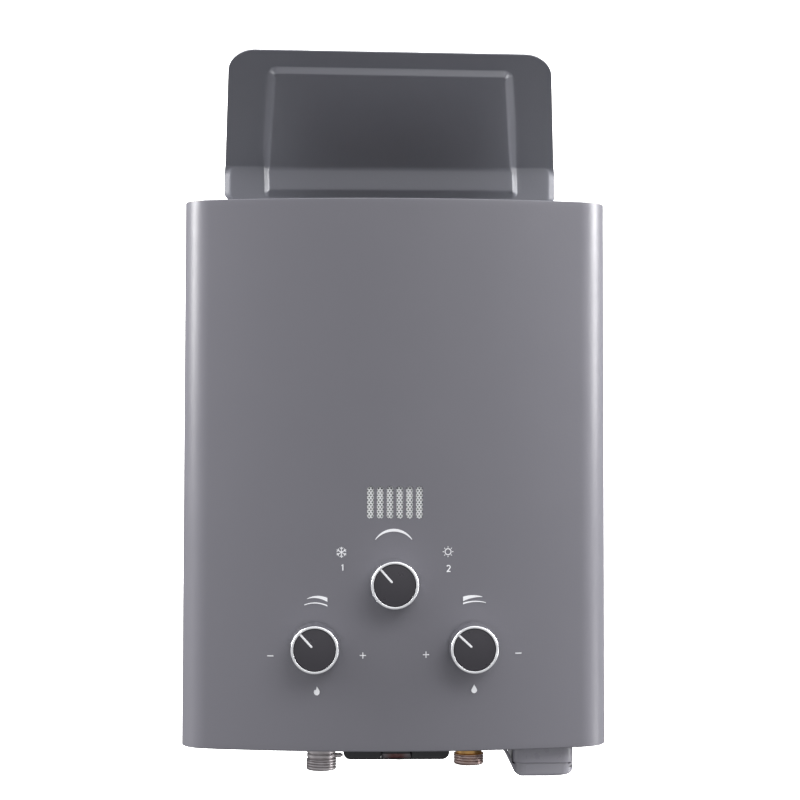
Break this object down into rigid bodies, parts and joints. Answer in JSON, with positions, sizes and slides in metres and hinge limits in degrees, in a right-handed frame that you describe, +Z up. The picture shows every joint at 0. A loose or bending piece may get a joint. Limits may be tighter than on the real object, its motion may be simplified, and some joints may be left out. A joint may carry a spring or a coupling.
{
  "type": "portable gas water heater",
  "caption": "Wall-hung portable gas water heater: bowed grey steel casing, forward-leaning rain hood, sight slots, turning knobs, pipe fittings, rocker switch and battery compartment below.",
  "frame": {"origin": "centre of the four wall holes, on the rear face of the back plate", "axes": "+Z up, +X to the right seen from the front, the front faces -Y; the wall is the plane Y = 0"},
  "size_m": [0.29, 0.1472, 0.4972],
  "materials": {
    "casing_paint": "satin grey powder coat",
    "hood_paint": "satin grey powder coat",
    "screen_metal": "bright perforated sheet",
    "zinc_sheet": "zinc coated sheet",
    "stainless": "bright",
    "screw_steel": "zinc plated",
    "copper": "bare copper, slightly dulled",
    "brass": "turned",
    "aged_brass": "dull, brownish",
    "nickel_brass": "nickel plated",
    "cast_aluminium": "cast, matt",
    "blue_coil": "coil jacket",
    "black_rubber": "matt",
    "black_plastic": "fine grain",
    "grey_plastic": "fine grain",
    "red_plastic": "gloss",
    "clear_silicone": "soft translucent silicone",
    "red_silicone": "silicone lead",
    "ceramic_white": "glazed",
    "cell_jacket": "shrink sleeve",
    "knob_chrome": "satin chrome",
    "knob_black": "soft gloss"
  },
  "bodies": {
    "root": {"front_cover": "casing_paint", "perforated_screen": "screen_metal", "back_plate": "zinc_sheet", "top_deck": "zinc_sheet", "bottom_plate": "zinc_sheet", "rain_hood": "hood_paint", "flue_collar": "zinc_sheet", "combustion_chamber": "copper", "heat_exchanger_fins": "copper", "heat_exchanger_tube": "copper", "burner_frame": "zinc_sheet", "burner_bars": "stainless", "burner_jets": "brass", "gas_manifold": "cast_aluminium", "season_valve_body": "cast_aluminium", "gas_valve_body": "cast_aluminium", "solenoid_valve": "blue_coil", "water_valve_body": "brass", "diaphragm": "black_rubber", "diaphragm_cover": "cast_aluminium", "diaphragm_screws": "screw_steel", "push_rod_spring": "stainless", "microswitch": "black_plastic", "valve_bracket": "zinc_sheet", "hot_outlet_fitting": "nickel_brass", "drain_plug": "nickel_brass", "cold_inlet_fitting": "brass", "inlet_filter": "stainless", "gas_inlet_fitting": "aged_brass", "fitting_nuts": "brass", "hot_water_pipe": "copper", "cold_water_pipe": "copper", "gas_pipe": "cast_aluminium", "ignition_controller": "black_plastic", "spark_electrode": "ceramic_white", "flame_sensor": "ceramic_white", "spark_lead": "red_silicone", "limit_thermostat": "stainless", "battery_box": "grey_plastic", "batteries": "cell_jacket", "battery_contacts": "stainless", "lid_hinge_pin": "screw_steel", "switch_plate": "black_plastic", "switch_housing": "black_plastic", "switch_rain_cover": "clear_silicone", "cover_screws": "screw_steel", "hood_screws": "screw_steel"},
    "season_knob": {"season_knob_shell": "knob_chrome", "season_knob_cap": "knob_black", "season_spindle": "stainless"},
    "gas_knob": {"gas_knob_shell": "knob_chrome", "gas_knob_cap": "knob_black", "gas_spindle": "stainless"},
    "water_knob": {"water_knob_shell": "knob_chrome", "water_knob_cap": "knob_black", "water_spindle": "stainless"},
    "rocker": {"switch_rocker": "red_plastic"},
    "lid": {"battery_lid": "grey_plastic"},
    "rod": {"push_rod": "stainless"},
    "lever": {"microswitch_lever": "stainless"}
  },
  "joints": [
    {"name": "season_turn", "type": "hinge", "parent": "root", "child": "season_knob", "pos_m": [0, -0.1276, -0.0737], "axis": [0, 1, 0], "range_deg": [0, 90]},
    {"name": "gas_turn", "type": "hinge", "parent": "root", "child": "gas_knob", "pos_m": [-0.0527, -0.1266, -0.116], "axis": [0, 1, 0], "range_deg": [0, 90]},
    {"name": "water_turn", "type": "hinge", "parent": "root", "child": "water_knob", "pos_m": [0.0527, -0.1266, -0.116], "axis": [0, 1, 0], "range_deg": [0, 90]},
    {"name": "power_rock", "type": "hinge", "parent": "root", "child": "rocker", "pos_m": [0.0016, -0.088, -0.189], "axis": [0, -1, 0], "range_deg": [0, 18]},
    {"name": "lid_swing", "type": "hinge", "parent": "root", "child": "lid", "pos_m": [0.1208, -0.062, -0.2005], "axis": [0, -1, 0], "range_deg": [0, 100]},
    {"name": "rod_slide", "type": "slide", "parent": "root", "child": "rod", "axis": [-1, 0, 0], "range_m": [0, 0.0035], "stiffness_N_per_m": 300, "springref_m": -0.005, "deforming": ["push_rod_spring"]},
    {"name": "lever_turn", "type": "hinge", "parent": "root", "child": "lever", "pos_m": [-0.0125, -0.09, -0.1275], "axis": [0, 1, 0], "range_deg": [0, 32]}
  ],
  "couplings": [
    {"joint": "lever_turn", "follows": "rod_slide", "rad_per_m": 157}
  ]
}
